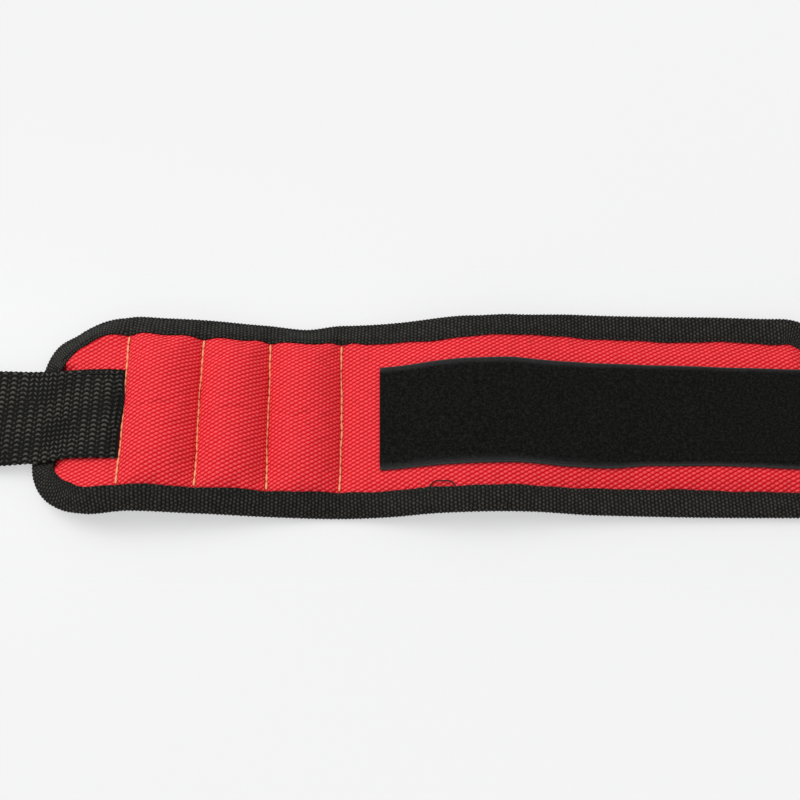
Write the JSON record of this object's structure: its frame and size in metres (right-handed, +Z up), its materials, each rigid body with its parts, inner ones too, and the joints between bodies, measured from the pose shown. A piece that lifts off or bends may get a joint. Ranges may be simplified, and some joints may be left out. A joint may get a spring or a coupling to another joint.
{
  "type": "magnetic wristband",
  "caption": "Flexible tool wristband with puffed magnet pockets, bound edges, a loop-tape strip and a webbing strap with a hook patch, folding at its seams.",
  "frame": {"origin": "on the table under the middle of the whole part, strap included, as it lies open", "axes": "+X along the band from the strap to the free end, +Y across it away from the viewer, +Z up"},
  "size_m": [0.3868, 0.078, 0.018],
  "materials": {
    "red_fabric": "coarse coated woven polyester",
    "binding_tape": "ribbed woven tape",
    "webbing": "chunky woven polypropylene webbing",
    "loop_pile": "brushed loop pile",
    "hook_tape": "woven nylon hooks",
    "lining_mesh": "spacer mesh",
    "foam": "open-cell foam sheet",
    "padding": "polyester wadding",
    "magnet": "nickel-plated disc",
    "seam_thread": "bonded sewing thread"
  },
  "bodies": {
    "strap_tip": {"webbing_tip": "webbing", "hook_patch": "hook_tape"},
    "strap_root": {"webbing_root": "webbing"},
    "end_panel": {"front_end": "red_fabric", "foam_end": "foam", "lining_end": "lining_mesh", "binding_end_strap": "binding_tape", "webbing_anchor": "webbing"},
    "pocket_1": {"pocket_panel_1": "red_fabric", "padding_1": "padding", "lining_pocket_1": "lining_mesh", "binding_front_pocket_1": "binding_tape", "binding_back_pocket_1": "binding_tape", "seam_thread_1": "seam_thread", "magnet_1_1": "magnet", "magnet_1_2": "magnet", "magnet_1_3": "magnet"},
    "pocket_2": {"pocket_panel_2": "red_fabric", "padding_2": "padding", "lining_pocket_2": "lining_mesh", "binding_front_pocket_2": "binding_tape", "binding_back_pocket_2": "binding_tape", "seam_thread_2": "seam_thread", "magnet_2_1": "magnet", "magnet_2_2": "magnet", "magnet_2_3": "magnet"},
    "pocket_3": {"pocket_panel_3": "red_fabric", "padding_3": "padding", "lining_pocket_3": "lining_mesh", "binding_front_pocket_3": "binding_tape", "binding_back_pocket_3": "binding_tape", "seam_thread_3": "seam_thread", "magnet_3_1": "magnet", "magnet_3_2": "magnet", "magnet_3_3": "magnet"},
    "loop_panel_1": {"front_loop_1": "red_fabric", "foam_loop_1": "foam", "lining_loop_1": "lining_mesh", "loop_tape_1": "loop_pile", "binding_front_loop_1": "binding_tape", "binding_back_loop_1": "binding_tape", "seam_thread_4": "seam_thread"},
    "loop_panel_2": {"front_loop_2": "red_fabric", "foam_loop_2": "foam", "lining_loop_2": "lining_mesh", "loop_tape_2": "loop_pile", "binding_front_loop_2": "binding_tape", "binding_back_loop_2": "binding_tape"},
    "loop_panel_3": {"front_loop_3": "red_fabric", "foam_loop_3": "foam", "lining_loop_3": "lining_mesh", "loop_tape_3": "loop_pile", "binding_front_loop_3": "binding_tape", "binding_back_loop_3": "binding_tape"},
    "loop_panel_4": {"front_loop_4": "red_fabric", "foam_loop_4": "foam", "lining_loop_4": "lining_mesh", "loop_tape_4": "loop_pile", "binding_end_loop_4": "binding_tape"}
  },
  "joints": [
    {"name": "seam_4_fold", "type": "hinge", "parent": "loop_panel_1", "child": "pocket_3", "pos_m": [0.00636, 0, 0.00101], "axis": [0, -1, 0], "range_deg": [-12, 54], "stiffness_Nm_per_rad": 0.05},
    {"name": "seam_3_fold", "type": "hinge", "parent": "pocket_3", "child": "pocket_2", "pos_m": [-0.01972, 0, 0.00353], "axis": [0, -1, 0], "range_deg": [-20, 36], "stiffness_Nm_per_rad": 0.05},
    {"name": "seam_2_fold", "type": "hinge", "parent": "pocket_2", "child": "pocket_1", "pos_m": [-0.04552, 0, 0.00807], "axis": [0, -1, 0], "range_deg": [-30, 26], "stiffness_Nm_per_rad": 0.05},
    {"name": "seam_1_fold", "type": "hinge", "parent": "pocket_1", "child": "end_panel", "pos_m": [-0.07162, 0, 0.0103], "axis": [0, -1, 0], "range_deg": [-40, 16], "stiffness_Nm_per_rad": 0.05},
    {"name": "strap_fold", "type": "hinge", "parent": "end_panel", "child": "strap_root", "pos_m": [-0.10653, 0, 0.00589], "axis": [0, -1, 0], "range_deg": [-45, 40], "stiffness_Nm_per_rad": 0.05},
    {"name": "strap_curl", "type": "hinge", "parent": "strap_root", "child": "strap_tip", "pos_m": [-0.14739, 0, 0.00245], "axis": [0, -1, 0], "range_deg": [-58.5, 52], "stiffness_Nm_per_rad": 0.05},
    {"name": "loop_curl_1", "type": "hinge", "parent": "loop_panel_1", "child": "loop_panel_2", "pos_m": [0.05275, 0, 0.00854], "axis": [0, 1, 0], "range_deg": [-16, 43], "stiffness_Nm_per_rad": 0.05},
    {"name": "loop_curl_2", "type": "hinge", "parent": "loop_panel_2", "child": "loop_panel_3", "pos_m": [0.09944, 0, 0.00313], "axis": [0, 1, 0], "range_deg": [-22.4, 60.2], "stiffness_Nm_per_rad": 0.05},
    {"name": "loop_curl_3", "type": "hinge", "parent": "loop_panel_3", "child": "loop_panel_4", "pos_m": [0.14639, 0, 0.001], "axis": [0, 1, 0], "range_deg": [-21.2, 56.98], "stiffness_Nm_per_rad": 0.05}
  ],
  "couplings": [
    {"joint": "strap_curl", "follows": "strap_fold", "ratio": 1.3},
    {"joint": "loop_curl_2", "follows": "loop_curl_1", "ratio": 1.4},
    {"joint": "loop_curl_3", "follows": "loop_curl_1", "ratio": 1.325}
  ]
}
